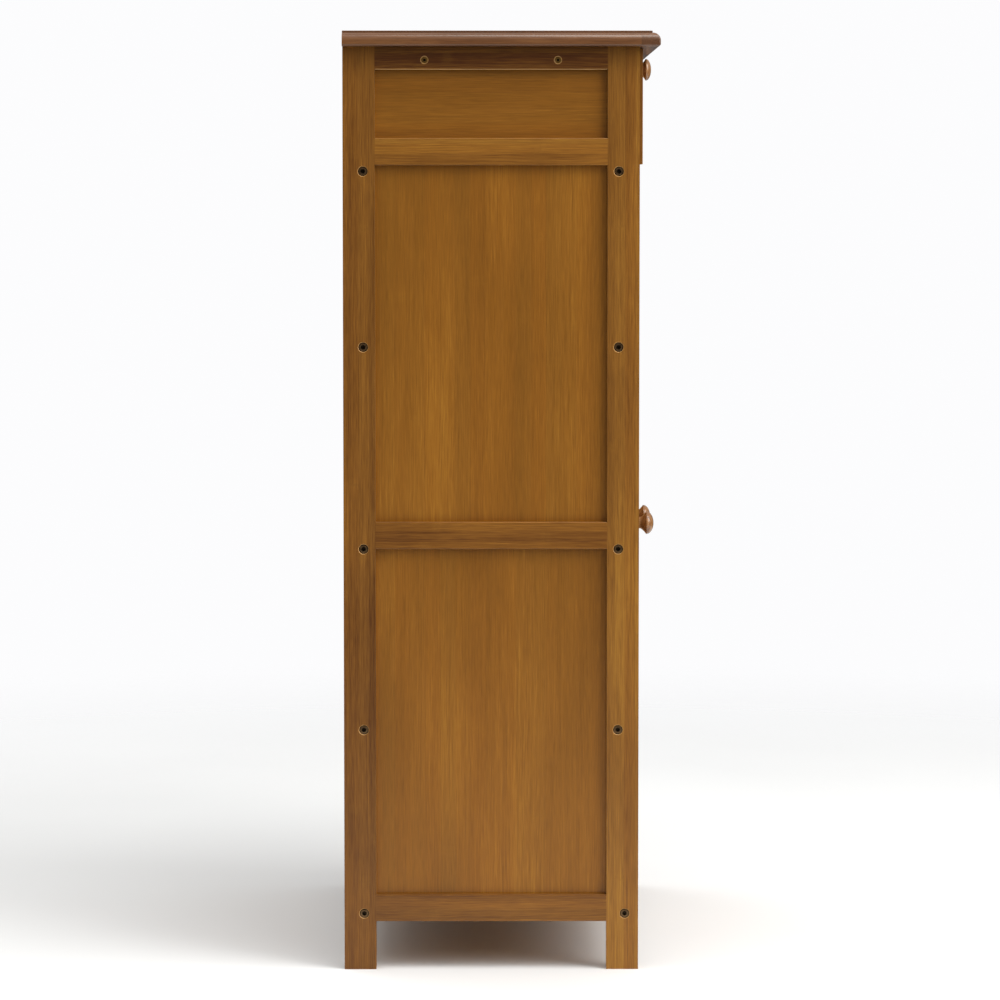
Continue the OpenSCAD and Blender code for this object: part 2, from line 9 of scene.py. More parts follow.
import bmesh
import bpy
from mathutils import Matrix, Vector


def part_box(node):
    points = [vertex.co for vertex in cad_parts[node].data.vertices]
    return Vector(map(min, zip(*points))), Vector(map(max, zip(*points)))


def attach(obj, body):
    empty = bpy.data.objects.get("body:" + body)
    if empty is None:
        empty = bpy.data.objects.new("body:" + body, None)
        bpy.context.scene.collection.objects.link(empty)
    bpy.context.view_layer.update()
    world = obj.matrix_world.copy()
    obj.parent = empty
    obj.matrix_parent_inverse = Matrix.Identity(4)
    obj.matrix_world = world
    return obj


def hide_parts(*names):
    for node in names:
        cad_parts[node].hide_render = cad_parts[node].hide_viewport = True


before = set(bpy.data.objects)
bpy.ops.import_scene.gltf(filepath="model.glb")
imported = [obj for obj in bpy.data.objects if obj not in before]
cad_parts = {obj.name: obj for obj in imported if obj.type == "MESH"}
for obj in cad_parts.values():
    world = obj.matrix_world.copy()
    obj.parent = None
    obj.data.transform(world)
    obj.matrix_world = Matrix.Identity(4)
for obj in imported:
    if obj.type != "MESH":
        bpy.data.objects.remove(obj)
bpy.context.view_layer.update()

X, Y, Z = 0, 1, 2
MM = 0.001
# how far a cutter reaches past the faces that it goes through
PAST = 1 * MM
SIDES = {"left": -1, "right": 1}

# ---- Boxes ----


class Box:
    """A box between its lowest and its highest corner."""

    def __init__(self, lo, hi):
        self.lo, self.hi = Vector(lo), Vector(hi)

    @property
    def size(self):
        return self.hi - self.lo

    @property
    def centre(self):
        return (self.lo + self.hi) / 2

    def grown(self, by):
        by = Vector((by,) * 3) if isinstance(by, float) else Vector(by)
        return Box(self.lo - by, self.hi + by)

    def holds(self, point):
        return all(self.lo[i] <= point[i] <= self.hi[i] for i in (X, Y, Z))

    def with_span(self, axis, start, end):
        """The same box, but from start to end along one axis."""
        lo, hi = self.lo.copy(), self.hi.copy()
        lo[axis], hi[axis] = min(start, end), max(start, end)
        return Box(lo, hi)


def box(node):
    return Box(*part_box(node))


def islands(node):
    """The boxes of the separate solids in a CAD node, sorted by x, then y, then z."""
    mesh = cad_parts[node].data
    number = {}
    index = [number.setdefault(tuple(round(c, 6) for c in v.co), len(number)) for v in mesh.vertices]
    leader = list(range(len(number)))

    def first(i):
        while leader[i] != i:
            leader[i] = leader[leader[i]]
            i = leader[i]
        return i

    for edge in mesh.edges:
        a, b = (first(index[v]) for v in edge.vertices)
        leader[a] = b
    groups = {}
    for point, i in number.items():
        groups.setdefault(first(i), []).append(point)
    boxes = [Box(map(min, zip(*points)), map(max, zip(*points))) for points in groups.values()]
    return sorted(boxes, key=lambda b: tuple(round(c, 3) for c in b.centre))


# ---- Solids ----


def prism(outline, axis, start, end):
    """Closed solid: the outline's points lie in the plane of the other two axes."""
    bm = bmesh.new()
    u, v = (i for i in (X, Y, Z) if i != axis)
    rings = []
    for at in (start, end):
        ring = []
        for p in outline:
            co = Vector()
            co[axis], co[u], co[v] = at, p[0], p[1]
            ring.append(bm.verts.new(co))
        rings.append(ring)
        bm.faces.new(ring)
    low, high = rings
    for i in range(len(outline)):
        bm.faces.new((low[i - 1], low[i], high[i], high[i - 1]))
    bmesh.ops.recalc_face_normals(bm, faces=bm.faces)
    return bm


def block(b):
    outline = [(b.lo.x, b.lo.y), (b.hi.x, b.lo.y), (b.hi.x, b.hi.y), (b.lo.x, b.hi.y)]
    return prism(outline, Z, b.lo.z, b.hi.z)


def stack(rings):
    """Closed solid through rings of equally many points, with flat ends."""
    bm = bmesh.new()
    made = [[bm.verts.new(p) for p in ring] for ring in rings]
    for below, above in zip(made, made[1:]):
        for i in range(len(below)):
            bm.faces.new((below[i - 1], below[i], above[i], above[i - 1]))
    bm.faces.new(made[0])
    bm.faces.new(made[-1])
    bmesh.ops.remove_doubles(bm, verts=bm.verts, dist=1e-7)
    bmesh.ops.recalc_face_normals(bm, faces=bm.faces)
    return bm


ROUND = 48


def turned(profile, origin, along):
    """Turned solid: profile is [(distance along the axis, radius)].

    For a ring with flats, the number of flats comes third.
    """
    along = Vector(along)
    u = along.orthogonal().normalized()
    v = along.cross(u)
    rings = []
    for at, radius, *flats in profile:
        ring = []
        for k in range(ROUND):
            angle = 2 * math.pi * k / ROUND
            r = radius
            if flats:
                part = math.pi / flats[0]
                r = radius * math.cos(part) / math.cos(angle % (2 * part) - part)
            ring.append(Vector(origin) + along * at + (u * math.cos(angle) + v * math.sin(angle)) * r)
        rings.append(ring)
    return stack(rings)


def as_object(name, bm):
    mesh = bpy.data.meshes.new(name)
    bm.to_mesh(mesh)
    bm.free()
    made = bpy.data.objects.new(name, mesh)
    bpy.context.scene.collection.objects.link(made)
    return made


def cut(bm, cutters):
    """What is left of a solid once the cutters are taken away."""
    if not cutters:
        return bm
    work = as_object("work", bm)
    tools = [as_object("tool", cutter) for cutter in cutters]
    for tool in tools:
        modifier = work.modifiers.new("cut", "BOOLEAN")
        modifier.object = tool
        modifier.operation = "DIFFERENCE"
        modifier.solver = "EXACT"
    graph = bpy.context.evaluated_depsgraph_get()
    left = bmesh.new()
    left.from_object(work, graph)
    for ob in (work, *tools):
        mesh = ob.data
        bpy.data.objects.remove(ob)
        bpy.data.meshes.remove(mesh)
    return left


def slice_across(bm, point, axis):
    """Adds edges where a plane through the point, square to the axis, meets the solid's faces."""
    normal = Vector()
    normal[axis] = 1
    geom = bm.verts[:] + bm.edges[:] + bm.faces[:]
    bmesh.ops.bisect_plane(bm, geom=geom, dist=1e-6, plane_co=point, plane_no=normal)


SHARP_ANGLE = math.radians(35)
SHORTEST_ARRIS = 2.5 * MM
RUN_OUT = 0.3 * MM


def ease(bm, radius, steps=3, sharp=(), axis=Z):
    """Rounds the long arrises outside the sharp boxes, and returns the vertices inside the rounds."""
    for b in sharp:
        # a rounded arris runs out within the first bit of a sharp box
        for at in (b.lo[axis], b.lo[axis] + RUN_OUT, b.hi[axis] - RUN_OUT, b.hi[axis]):
            plane = Vector()
            plane[axis] = at
            slice_across(bm, plane, axis)
    kept = [b.grown(0.2 * MM) for b in sharp]
    arrises = []
    for edge in bm.edges:
        if len(edge.link_faces) != 2 or edge.calc_face_angle() < SHARP_ANGLE:
            continue
        middle = (edge.verts[0].co + edge.verts[1].co) / 2
        if edge.calc_length() > SHORTEST_ARRIS and not any(b.holds(middle) for b in kept):
            arrises.append(edge)
    made = bmesh.ops.bevel(
        bm, geom=arrises, offset=radius, segments=steps, profile=0.5, affect="EDGES", clamp_overlap=True
    )
    new = set(made["faces"])
    return [v for v in bm.verts if v.link_faces and all(f in new for f in v.link_faces)]


# ---- Pieces ----

UNDER_TOP = box("top_board").lo.z - 3 * MM
TOP_STEP_Z = box("top_board").hi.z - 2.4 * MM


def piece(name, bm, body, material, slot, stands_for=(), weighted=True):
    for face in bm.faces:
        face.smooth = True
    for edge in bm.edges:
        if len(edge.link_faces) == 2 and edge.calc_face_angle() > SHARP_ANGLE:
            edge.smooth = False
    made = as_object(name, bm)
    made.data.materials.append(material)
    if weighted:
        modifier = made.modifiers.new("flat faces stay flat", "WEIGHTED_NORMAL")
        modifier.keep_sharp = True
    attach(made, body)
    if stands_for:
        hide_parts(*stands_for)
    return made


def mark_grain(bm, extent, axis, rounds, chance, rims=()):
    """Writes at each corner its place in the board, (along, across, depth), what is end grain or painted
    shade, and what is painted pale.

    Painted pale, partly as wear and partly as a painted highlight, are the vertices in rounds and what lies
    near the rims, each an (origin, direction, radius).
    """
    across, depth = sorted((i for i in (X, Y, Z) if i != axis), key=lambda i: -extent.size[i])
    shift = [chance.uniform(-4, 4) for _ in range(3)]
    grain = bm.loops.layers.float_vector.get("grain") or bm.loops.layers.float_vector.new("grain")
    edge = bm.loops.layers.float_vector.get("edge") or bm.loops.layers.float_vector.new("edge")
    rounds = set(rounds)
    whole = extent.grown(PAST)
    for face in bm.faces:
        middle = face.calc_center_median()
        if not whole.holds(middle):
            continue
        # end is set for end grain, and also for painted shade under the top board and for the darkened step
        # along its upper edge
        end = 1.0 if abs(face.normal[axis]) > 0.8 or dark_face(face) else 0.0
        # faces near the rims of bores and sinks, walls included, are painted pale: a painted highlight,
        # partly wear
        rim = any(near_axis(middle, *r) and abs(face.normal.dot(r[1])) < 0.95 for r in rims)
        for loop in face.loops:
            loop[grain] = [loop.vert.co[i] - extent.lo[i] + s for i, s in zip((axis, across, depth), shift)]
            loop[edge] = (end, 1.0 if rim or loop.vert in rounds else 0.0, 0.0)


def dark_face(face):
    """Faces under the top board get painted shade, dark like end grain; the small step along its upper edge
    is darkened the same way.
    """
    z = face.calc_center_median().z
    under = face.normal.z < -0.4 and z > UNDER_TOP
    step = abs(face.normal.z) < 0.5 and z > TOP_STEP_Z
    return under or step


def near_axis(point, origin, along, radius):
    off = point - origin
    return (off - along * off.dot(along)).length < radius


def board(
    name, body, extent, axis, finish, arris=1.0 * MM, sharp=(), cuts=(), solid=None, stands_for=(), tone=0.0,
    bores=(), sinks=(), wear_and_highlight=None,
):
    """A wooden piece: its extent, or the solid given, cut, with arrises rounded and grain along the axis.

    Inside the sharp boxes the arrises stay sharp. bores and sinks are the places, as (origin, direction), of
    counterbores and countersinks, whose rims and walls are painted pale, partly as wear and partly as a
    painted highlight. The arrises are painted pale the same way, but if a box is given for it, then only
    inside it. tone is how much darker or paler the piece is.
    """
    chance = random.Random(name)
    cutters = [*cuts, *(counterbore(*at) for at in bores), *(countersink(*at) for at in sinks)]
    bm = cut(solid or block(extent), cutters)
    # the rounded arrises are painted pale, partly as wear and partly as a painted highlight, but not those up
    # under the top board, which lie in its shade
    rounds = [
        v for v in ease(bm, arris, sharp=sharp, axis=axis)
        if v.co.z < UNDER_TOP and (wear_and_highlight is None or wear_and_highlight.holds(v.co))
    ]
    rims = [(*at, BORE_R + BORE_RIM) for at in bores] + [(*at, SCREW_HEAD_R + SINK_RIM) for at in sinks]
    mark_grain(bm, extent, axis, rounds, chance, rims)
    material, slot = finish
    made = piece(name, bm, body, material, slot, stands_for)
    made["tone"] = tone + chance.uniform(-0.25, 0.25)
    return made


# ---- Materials ----


class Shader:
    """Short calls for a material's nodes; each returns an output socket."""

    def __init__(self, name):
        self.material = bpy.data.materials.new(name)
        self.material.use_nodes = True
        self.tree = self.material.node_tree
        self.surface = self.tree.nodes["Principled BSDF"]

    def node(self, kind, inputs=(), **settings):
        made = self.tree.nodes.new(kind)
        for key, value in settings.items():
            setattr(made, key, value)
        for key, value in dict(inputs).items():
            if isinstance(value, bpy.types.NodeSocket):
                self.tree.links.new(value, made.inputs[key])
            else:
                made.inputs[key].default_value = value
        return made

    def attribute(self, name, output, kind="GEOMETRY"):
        made = self.node("ShaderNodeAttribute", attribute_name=name, attribute_type=kind)
        return made.outputs[output]

    def split(self, vector):
        return self.node("ShaderNodeSeparateXYZ", {0: vector}).outputs

    def join(self, x, y, z):
        return self.node("ShaderNodeCombineXYZ", {0: x, 1: y, 2: z}).outputs[0]

    def math(self, operation, a, b=0.0, c=0.0):
        return self.node("ShaderNodeMath", {0: a, 1: b, 2: c}, operation=operation).outputs[0]

    def scaled(self, vector, x, y, z):
        """The vector with each of its parts times a number of its own."""
        made = self.node("ShaderNodeVectorMath", {0: vector, 1: (x, y, z)}, operation="MULTIPLY")
        return made.outputs[0]

    def noise(self, vector, scale=1.0, detail=2.0, roughness=0.5, distortion=0.0):
        inputs = {
            "Vector": vector,
            "Scale": scale,
            "Detail": detail,
            "Roughness": roughness,
            "Distortion": distortion,
        }
        return self.node("ShaderNodeTexNoise", inputs).outputs["Fac"]

    def remap(self, value, low, high, to_low=0.0, to_high=1.0, smooth=False):
        kind = "SMOOTHSTEP" if smooth else "LINEAR"
        inputs = {0: value, 1: low, 2: high, 3: to_low, 4: to_high}
        return self.node("ShaderNodeMapRange", inputs, interpolation_type=kind).outputs[0]

    def mix(self, factor, a, b, blend="MIX"):
        inputs = {0: factor, 6: a, 7: b}
        return self.node("ShaderNodeMix", inputs, data_type="RGBA", blend_type=blend).outputs[2]

    def ramp(self, value, stops):
        made = self.node("ShaderNodeValToRGB", {0: value})
        elements = made.color_ramp.elements
        while len(elements) < len(stops):
            elements.new(0.5)
        for element, (position, colour) in zip(elements, stops):
            element.position = position
            element.color = colour
        return made.outputs[0]

    def bump(self, height, strength, distance):
        inputs = {"Strength": strength, "Distance": distance, "Height": height}
        return self.node("ShaderNodeBump", inputs).outputs[0]

    def set(self, **values):
        """Sets the surface's own sockets; a name's underscores stand for spaces."""
        for key, value in values.items():
            socket = self.surface.inputs[key.replace("_", " ")]
            if isinstance(value, bpy.types.NodeSocket):
                self.tree.links.new(value, socket)
            else:
                socket.default_value = value
        return self.material


def colour(hex_code):
    """Linear colour of an sRGB hex code."""
    parts = [int(hex_code[i : i + 2], 16) / 255 for i in (0, 2, 4)]
    return (*[c / 12.92 if c <= 0.04045 else ((c + 0.055) / 1.055) ** 2.4 for c in parts], 1.0)


def bamboo(
    name, dark, middle, light, strip_w=13.0 * MM, strips=0.3, streaks=1.0, nodes=0.4, roughness=0.4, coat=0.06
):
    """Stained laminated bamboo under satin lacquer: glued strips with fibres, culm nodes, arrises painted
    paler as wear and as a highlight, and painted shade under the top board.

    strips, streaks and nodes say how strongly the strips, the fibres and the culm nodes show.
    """
    node_pitch = 0.41
    strip_t = 10 * MM
    s = Shader(name)
    grain = s.attribute("grain", "Vector")
    tone = s.attribute("tone", "Fac", "OBJECT")
    along, across, depth = s.split(grain)
    end_grain_and_shade, arris_wear_and_highlight, _ = s.split(s.attribute("edge", "Vector"))

    # glued strips, each with its own tone
    column = s.math("DIVIDE", across, strip_w)
    cell = s.join(s.math("FLOOR", column), s.math("FLOOR", s.math("DIVIDE", depth, strip_t)), 0.0)
    chance = s.node("ShaderNodeTexWhiteNoise", {"Vector": cell}, noise_dimensions="3D")
    strip_tone = chance.outputs["Value"]
    strip_shift, strip_hue, _ = s.split(chance.outputs["Color"])

    # fibres: streaks of three widths and short dark dashes, all wandering a little and gathered in places
    wander = s.noise(s.scaled(grain, 4.0, 30.0, 30.0), detail=1.0)
    bent = s.join(along, s.math("MULTIPLY_ADD", wander, 7 * MM, across), depth)
    broad = s.noise(s.scaled(bent, 1.8, 60.0, 60.0), detail=2.0)
    middling = s.noise(s.scaled(bent, 9.0, 560.0, 560.0), detail=2.0, roughness=0.6)
    fine = s.noise(s.scaled(bent, 40.0, 1500.0, 1500.0), detail=2.0)
    stain = s.noise(s.scaled(grain, 2.6, 10.0, 10.0), detail=2.0)
    gathered = s.remap(stain, 0.3, 0.7, 0.45, 1.25)

    value = s.math("MULTIPLY_ADD", s.math("SUBTRACT", strip_tone, 0.5), strips, 0.5)
    bunched = s.math("MULTIPLY", middling, gathered)
    for part, weight in ((broad, 0.3), (bunched, 0.5), (fine, 0.6), (stain, 0.2)):
        value = s.math("MULTIPLY_ADD", s.math("SUBTRACT", part, 0.5), weight * streaks, value)
    value = s.math("MULTIPLY_ADD", tone, 0.2, value)
    base = s.ramp(value, [(0.05, dark), (0.5, middle), (0.95, light)])
    dashes = s.noise(s.scaled(bent, 13.0, 640.0, 640.0), detail=2.0, roughness=0.55)
    dash = s.math("MULTIPLY", s.remap(dashes, 0.57, 0.7, smooth=True), gathered)
    base = s.mix(s.math("MULTIPLY", dash, 0.36 * streaks), base, s.mix(0.75, base, dark))
    warm = s.remap(s.math("ADD", strip_hue, stain), 0.6, 1.4)
    warmer = s.mix(1.0, base, (1.08, 0.95, 0.7, 1), "MULTIPLY")
    base = s.mix(s.math("MULTIPLY", warm, 0.4), base, warmer)

    # culm nodes, a thin ragged bar across each strip with a pale rim
    turn = s.math("ADD", s.math("DIVIDE", along, node_pitch), s.math("MULTIPLY", strip_shift, 7.0))
    wave = s.math("MULTIPLY_ADD", s.math("SUBTRACT", middling, 0.5), 16 * MM / node_pitch, turn)
    off = s.math("ABSOLUTE", s.math("SUBTRACT", s.math("FRACT", wave), 0.5))
    bar = s.remap(off, 0.3 * MM / node_pitch, 2.6 * MM / node_pitch, 1.0, 0.0, smooth=True)
    rim = s.remap(off, 2.0 * MM / node_pitch, 9.0 * MM / node_pitch, 1.0, 0.0, smooth=True)
    bar = s.math("MULTIPLY", bar, s.remap(fine, 0.35, 0.6))
    base = s.mix(s.math("MULTIPLY", rim, 0.14 * nodes), base, light)
    base = s.mix(s.math("MULTIPLY", bar, 0.4 * nodes), base, dark)

    # glue lines between the strips
    to_line = s.math("ABSOLUTE", s.math("SUBTRACT", s.math("FRACT", column), 0.5))
    line = s.remap(to_line, 0.5 - 0.35 * MM / strip_w, 0.5, smooth=True)
    base = s.mix(s.math("MULTIPLY", line, min(0.3, strips)), base, dark)

    # end grain drinks more stain, and faces under the top board get the same darkening as painted shade; the
    # arrises and the rims of bores are painted paler, partly as wear and partly as a painted highlight
    base = s.mix(s.math("MULTIPLY", end_grain_and_shade, 0.6), base, s.mix(0.6, dark, base))
    wear_and_highlight_patches = s.remap(s.noise(s.scaled(grain, 14.0, 160.0, 160.0), detail=3.0), 0.3, 0.62, 0.55, 1.0)
    wear_and_highlight = s.math("MULTIPLY", s.math("MULTIPLY", arris_wear_and_highlight, wear_and_highlight_patches), 0.9)
    base = s.mix(wear_and_highlight, base, colour("c99a5c"))

    relief = s.math("ADD", s.math("MULTIPLY", middling, 0.6), s.math("MULTIPLY", fine, 0.4))
    relief = s.math("SUBTRACT", relief, s.math("MULTIPLY", s.math("MAXIMUM", bar, line), 0.4))
    rough = s.math("MULTIPLY_ADD", s.math("SUBTRACT", middling, 0.5), 0.18, roughness)
    rough = s.math("MULTIPLY_ADD", s.math("SUBTRACT", stain, 0.5), 0.12, rough)
    rough = s.math("MULTIPLY_ADD", end_grain_and_shade, 0.15, rough)
    return s.set(
        Base_Color=base,
        Roughness=rough,
        Normal=s.bump(relief, 0.35, 0.25 * MM),
        Specular_IOR_Level=0.3,
        Coat_Weight=coat,
        Coat_Roughness=0.2,
    )


def turned_wood():
    """Stained hardwood off the lathe: upright grain, and fine tool rings round the axis under the lacquer."""
    s = Shader("turned wood")
    place = s.node("ShaderNodeTexCoord").outputs["Object"]
    broad = s.noise(s.scaled(place, 190.0, 190.0, 22.0), detail=2.0, distortion=0.3)
    fine = s.noise(s.scaled(place, 1100.0, 1100.0, 70.0), detail=2.0)
    rings = s.noise(s.scaled(place, 0.0, 2600.0, 0.0), detail=1.0)
    value = s.math("MULTIPLY_ADD", s.math("SUBTRACT", fine, 0.5), 0.7, broad)
    base = s.ramp(value, [(0.1, colour("5a3416")), (0.5, colour("8f6236")), (0.9, colour("b38655"))])
    relief = s.math("ADD", s.math("MULTIPLY", rings, 0.6), s.math("MULTIPLY", fine, 0.4))
    return s.set(
        Base_Color=base,
        Roughness=s.remap(broad, 0.2, 0.8, 0.3, 0.42),
        Normal=s.bump(relief, 0.12, 0.1 * MM),
        Coat_Weight=0.6,
        Coat_Roughness=0.14,
    )


def metal(name, dark, light, roughness, rubbed):
    """Plated steel with a mottled film, fine scratches, rubbed spots and painted shade, almost black, inside
    the heads' sockets.
    """
    s = Shader(name)
    place = s.node("ShaderNodeTexCoord").outputs["Object"]
    mottle = s.noise(place, 420.0, 4.0, 0.6)
    scratch = s.noise(s.scaled(place, 900.0, 5200.0, 900.0), detail=2.0)
    spots = s.remap(s.noise(place, 900.0, 3.0), 0.56, 0.7, smooth=True)
    base = s.mix(mottle, dark, light)
    base = s.mix(s.math("MULTIPLY", spots, 0.5), base, rubbed)
    socket_shade = s.split(s.attribute("edge", "Vector"))[2]
    # painted shade, almost black, inside the heads' sockets
    base = s.mix(s.math("MULTIPLY", socket_shade, 0.9), base, (0.004, 0.003, 0.002, 1))
    rough = s.math("MULTIPLY_ADD", s.math("SUBTRACT", mottle, 0.5), 0.25, roughness)
    relief = s.math("ADD", s.math("MULTIPLY", mottle, 0.5), s.math("MULTIPLY", scratch, 0.5))
    return s.set(Base_Color=base, Roughness=rough, Metallic=1.0, Normal=s.bump(relief, 0.15, 0.05 * MM))


def nylon():
    """Moulded plastic with a fine spark-eroded grain and faint flow marks."""
    s = Shader("moulded nylon")
    place = s.node("ShaderNodeTexCoord").outputs["Object"]
    grain = s.noise(place, 2600.0, 2.0)
    flow = s.noise(s.scaled(place, 60.0, 60.0, 240.0), detail=2.0)
    base = s.mix(flow, colour("d9d3c4"), colour("ebe7dc"))
    return s.set(
        Base_Color=base,
        Roughness=s.remap(grain, 0.3, 0.7, 0.38, 0.52),
        Normal=s.bump(grain, 0.25, 0.04 * MM),
    )


# each finish is a material and the name of a slot in the record
FRAME = (
    bamboo("bamboo frame", colour("502a06"), colour("8a5b1e"), colour("b4812e"), strips=0.2),
    "bamboo_frame",
)
PANEL = (
    bamboo(
        "bamboo panel", colour("5c380a"), colour("8d5b18"), colour("b9832a"),
        strip_w=19 * MM, strips=0.05, streaks=0.75, nodes=0.2,
    ),
    "bamboo_panel",
)
TOP = (
    bamboo(
        "bamboo top", colour("3a200c"), colour("6d4628"), colour("966a40"),
        strip_w=20 * MM, strips=0.2, roughness=0.32, coat=0.6,
    ),
    "bamboo_top",
)
INSIDE = (
    bamboo(
        "bamboo inside", colour("6b4019"), colour("9c6f38"), colour("c29557"),
        strip_w=22 * MM, roughness=0.5,
    ),
    "bamboo_inside",
)
KNOB_WOOD = turned_wood()
BRONZE = metal("bronzed steel", colour("54402c"), colour("846a4c"), 0.4, colour("a88c68"))
STEEL = metal("zinc steel", colour("9c9c98"), colour("c4c4be"), 0.3, colour("dcdcd6"))
BRASSED = metal("brassed steel", colour("6e5026"), colour("9a7640"), 0.4, colour("c09a60"))
NYLON = nylon()

# ---- Fasteners ----

BOLT_SINK = 1.2 * MM
BOLT_HEAD_R = 5.0 * MM
BOLT_HEAD_H = 4.2 * MM
BOLT_R = 3.0 * MM
BORE_R = 6.0 * MM
BORE_RIM = 0.55 * MM
SCREW_HEAD_R = 4.0 * MM
SINK_RIM = 1.1 * MM
SCREW_HEAD_H = 2.6 * MM
SCREW_R = 2.0 * MM


def socket_bolt(name, body, origin, along, length, slot="bronzed_steel", stands_for=()):
    """Flat-headed bolt with a hexagon socket. It starts at the head's face and points along."""
    edge = 0.5 * MM
    wide, deep = 2.9 * MM, 2.6 * MM
    profile = [
        (deep + 0.7 * MM, 0.0),
        (deep, wide * 0.86, 6),
        (0.35 * MM, wide, 6),
        (0.0, wide + 0.35 * MM, 6),
        (0.0, BOLT_HEAD_R - edge),
        (edge * 0.3, BOLT_HEAD_R - edge * 0.3),
        (edge, BOLT_HEAD_R),
        (BOLT_HEAD_H, BOLT_HEAD_R),
        (BOLT_HEAD_H, BOLT_R),
        (length - 1 * MM, BOLT_R),
        (length, BOLT_R - 0.8 * MM),
    ]
    solid = paint_socket_shade(turned(profile, origin, along), origin, along, wide, deep + 1 * MM)
    return piece(name, solid, body, BRONZE, slot, stands_for)


def countersunk_screw(name, body, origin, along, length, stands_for=()):
    """Countersunk screw with a small hexagon socket. It starts at the head's face and points along."""
    wide, deep = 1.7 * MM, 1.6 * MM
    profile = [
        (deep + 0.4 * MM, 0.0),
        (deep, wide * 0.9, 6),
        (0.2 * MM, wide, 6),
        (0.0, wide + 0.25 * MM, 6),
        (0.0, SCREW_HEAD_R - 0.25 * MM),
        (0.2 * MM, SCREW_HEAD_R),
        (SCREW_HEAD_H, SCREW_R),
        (length - 4 * MM, SCREW_R),
        (length, 0.2 * MM),
    ]
    solid = paint_socket_shade(turned(profile, origin, along), origin, along, wide, deep + 0.5 * MM)
    return piece(name, solid, body, BRASSED, "bronzed_steel", stands_for)


def paint_socket_shade(bm, origin, along, radius, depth):
    """Marks the inside of a head's socket for painted shade, almost black."""
    edge = bm.loops.layers.float_vector.new("edge")
    for face in bm.faces:
        middle = face.calc_center_median()
        inside = near_axis(middle, Vector(origin), Vector(along), radius)
        inside = inside and 0.05 * MM < (middle - Vector(origin)).dot(Vector(along)) < depth
        for loop in face.loops:
            loop[edge] = (0.0, 0.0, 1.0 if inside else 0.0)
    return bm


def counterbore(origin, along):
    """Cutter for a bolt head's bore with a chamfered mouth."""
    profile = [
        (-PAST, BORE_R + BORE_RIM + PAST),
        (0.0, BORE_R + BORE_RIM),
        (BORE_RIM, BORE_R),
        (BOLT_SINK + BOLT_HEAD_H, BORE_R),
    ]
    return turned(profile, origin, along)


def countersink(origin, along):
    """Cutter for a countersunk head, a little wider than the head."""
    wide = 0.6 * MM
    profile = [
        (-PAST, SCREW_HEAD_R + SINK_RIM + PAST),
        (0.0, SCREW_HEAD_R + SINK_RIM),
        (0.6 * MM, SCREW_HEAD_R + 0.1 * MM),
        (SCREW_HEAD_H, SCREW_R + wide),
        (SCREW_HEAD_H + 1 * MM, SCREW_R + wide),
    ]
    return turned(profile, origin, along)


# ---- Frames: stiles, rails with stub tenons, and panels ----


def tenoned(rail, between, across, thin, panel):
    """A rail's solid: full thickness between its stiles, and tongues as thick as the panel beyond them."""
    body = rail.with_span(across, *between)
    u = [rail.lo[across], body.lo[across], body.hi[across], rail.hi[across]]
    v = [rail.lo[thin], panel.lo[thin], panel.hi[thin], rail.hi[thin]]
    outline = [
        (u[1], v[0]), (u[2], v[0]), (u[2], v[1]), (u[3], v[1]), (u[3], v[2]), (u[2], v[2]),
        (u[2], v[3]), (u[1], v[3]), (u[1], v[2]), (u[0], v[2]), (u[0], v[1]), (u[1], v[1]),
    ]
    if across > thin:
        outline = [(b, a) for a, b in outline]
    return prism(outline, Z, rail.lo.z, rail.hi.z)


def groove_in_rail(rail, panel, thin, length):
    """Cutter for the groove where a panel's upper or lower edge stands in a rail."""
    lo, hi = rail.lo.copy(), rail.hi.copy()
    lo[thin], hi[thin] = panel.lo[thin], panel.hi[thin]
    lo[length] -= PAST
    hi[length] += PAST
    if panel.centre.z > rail.centre.z:
        lo.z, hi.z = panel.lo.z - PAST, rail.hi.z + PAST
    else:
        lo.z, hi.z = rail.lo.z - PAST, panel.hi.z + PAST
    return block(Box(lo, hi))


def touching(rail, panels):
    """The panels whose lips reach into a rail."""
    return [p for p in panels if p.lo.z < rail.hi.z and p.hi.z > rail.lo.z]


# ---- Side frames ----

RAIL_TONE = {"top": -2.2, "upper": -0.4, "middle": -0.8, "bottom": -0.9}
STILE_TONE = {"front": 0.1, "back": -0.9}
OPENING_ARRIS = 1.3 * MM
LEG_ARRIS = 1.6 * MM
EDGE_ARRIS = 1.2 * MM
PANEL_ARRIS = 0.3 * MM


